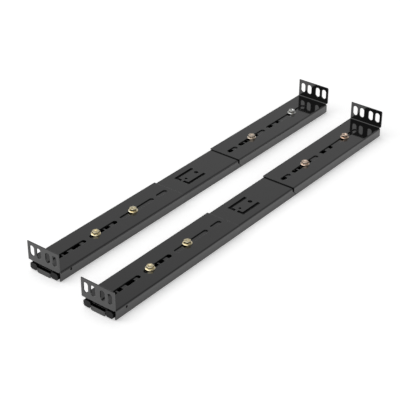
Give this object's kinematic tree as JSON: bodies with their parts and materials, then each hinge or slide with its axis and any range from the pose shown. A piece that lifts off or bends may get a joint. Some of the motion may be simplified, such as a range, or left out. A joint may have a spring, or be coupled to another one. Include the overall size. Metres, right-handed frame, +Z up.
{
  "type": "sliding server rail pair",
  "caption": "Two collapsed ball-bearing slides with slotted angle brackets at their ends, which slide to suit the depth of a rack and clamp with hexagon flange screws.",
  "frame": {"origin": "on the floor, in the middle of the pair", "axes": "X across the rails, Y along them to the rear, +Z up from the chassis side to the brackets' faces"},
  "size_m": [0.1318, 0.5038, 0.0342],
  "materials": {
    "black_coat": "satin",
    "dark_steel": "satin",
    "zinc_steel": "satin",
    "cage_steel": "satin",
    "ball_steel": "polished",
    "yellow_zinc": "satin",
    "black_plastic": "matte"
  },
  "bodies": {
    "fixed_rails": {"left_base_channel": "black_coat", "left_outer_member": "black_coat", "left_clamp_screws": "yellow_zinc", "left_outer_bumpers": "black_plastic", "left_rear_stop": "black_plastic", "right_base_channel": "black_coat", "right_outer_member": "black_coat", "right_clamp_screws": "yellow_zinc", "right_outer_bumpers": "black_plastic", "right_rear_stop": "black_plastic"},
    "left_front_bracket_body": {"left_front_bracket": "black_coat"},
    "left_rear_bracket_body": {"left_rear_bracket": "black_coat"},
    "left_middle_slide": {"left_middle_member": "dark_steel", "left_middle_bumpers": "black_plastic"},
    "left_inner_slide": {"left_inner_member": "dark_steel", "left_lever_pin": "zinc_steel"},
    "left_lever": {"left_release_lever": "black_plastic"},
    "left_outer_cage_body": {"left_outer_cage": "cage_steel", "left_outer_balls": "ball_steel"},
    "left_inner_cage_body": {"left_inner_cage": "cage_steel", "left_inner_balls": "ball_steel"},
    "right_front_bracket_body": {"right_front_bracket": "black_coat"},
    "right_rear_bracket_body": {"right_rear_bracket": "black_coat"},
    "right_middle_slide": {"right_middle_member": "dark_steel", "right_middle_bumpers": "black_plastic"},
    "right_inner_slide": {"right_inner_member": "dark_steel", "right_lever_pin": "zinc_steel"},
    "right_lever": {"right_release_lever": "black_plastic"},
    "right_outer_cage_body": {"right_outer_cage": "cage_steel", "right_outer_balls": "ball_steel"},
    "right_inner_cage_body": {"right_inner_cage": "cage_steel", "right_inner_balls": "ball_steel"}
  },
  "joints": [
    {"name": "left_front_depth", "type": "slide", "parent": "fixed_rails", "child": "left_front_bracket_body", "axis": [0, -1, 0], "range_m": [-0.006, 0.03]},
    {"name": "left_rear_depth", "type": "slide", "parent": "fixed_rails", "child": "left_rear_bracket_body", "axis": [0, 1, 0], "range_m": [-0.023, 0.022]},
    {"name": "left_middle_travel", "type": "slide", "parent": "fixed_rails", "child": "left_middle_slide", "axis": [0, -1, 0], "range_m": [0, 0.235]},
    {"name": "left_inner_travel", "type": "slide", "parent": "left_middle_slide", "child": "left_inner_slide", "axis": [0, -1, 0], "range_m": [0, 0.235]},
    {"name": "left_outer_cage_travel", "type": "slide", "parent": "fixed_rails", "child": "left_outer_cage_body", "axis": [0, -1, 0], "range_m": [0, 0.1175]},
    {"name": "left_inner_cage_travel", "type": "slide", "parent": "left_middle_slide", "child": "left_inner_cage_body", "axis": [0, -1, 0], "range_m": [0, 0.1175]},
    {"name": "left_lever_catch", "type": "hinge", "parent": "left_inner_slide", "child": "left_lever", "pos_m": [-0.0447, 0.01395, 0.003], "axis": [0, 0, -1], "range_deg": [0, 6], "stiffness_Nm_per_rad": 0.05, "springref_deg": -2.86},
    {"name": "right_front_depth", "type": "slide", "parent": "fixed_rails", "child": "right_front_bracket_body", "axis": [0, -1, 0], "range_m": [-0.006, 0.03]},
    {"name": "right_rear_depth", "type": "slide", "parent": "fixed_rails", "child": "right_rear_bracket_body", "axis": [0, 1, 0], "range_m": [-0.023, 0.022]},
    {"name": "right_middle_travel", "type": "slide", "parent": "fixed_rails", "child": "right_middle_slide", "axis": [0, -1, 0], "range_m": [0, 0.235]},
    {"name": "right_inner_travel", "type": "slide", "parent": "right_middle_slide", "child": "right_inner_slide", "axis": [0, -1, 0], "range_m": [0, 0.235]},
    {"name": "right_outer_cage_travel", "type": "slide", "parent": "fixed_rails", "child": "right_outer_cage_body", "axis": [0, -1, 0], "range_m": [0, 0.1175]},
    {"name": "right_inner_cage_travel", "type": "slide", "parent": "right_middle_slide", "child": "right_inner_cage_body", "axis": [0, -1, 0], "range_m": [0, 0.1175]},
    {"name": "right_lever_catch", "type": "hinge", "parent": "right_inner_slide", "child": "right_lever", "pos_m": [0.0431, 0.00005, 0.003], "axis": [0, 0, -1], "range_deg": [0, 6], "stiffness_Nm_per_rad": 0.05, "springref_deg": -2.86}
  ],
  "couplings": [
    {"joint": "left_outer_cage_travel", "follows": "left_middle_travel", "ratio": 0.5},
    {"joint": "left_inner_cage_travel", "follows": "left_inner_travel", "ratio": 0.5},
    {"joint": "right_outer_cage_travel", "follows": "right_middle_travel", "ratio": 0.5},
    {"joint": "right_inner_cage_travel", "follows": "right_inner_travel", "ratio": 0.5}
  ]
}
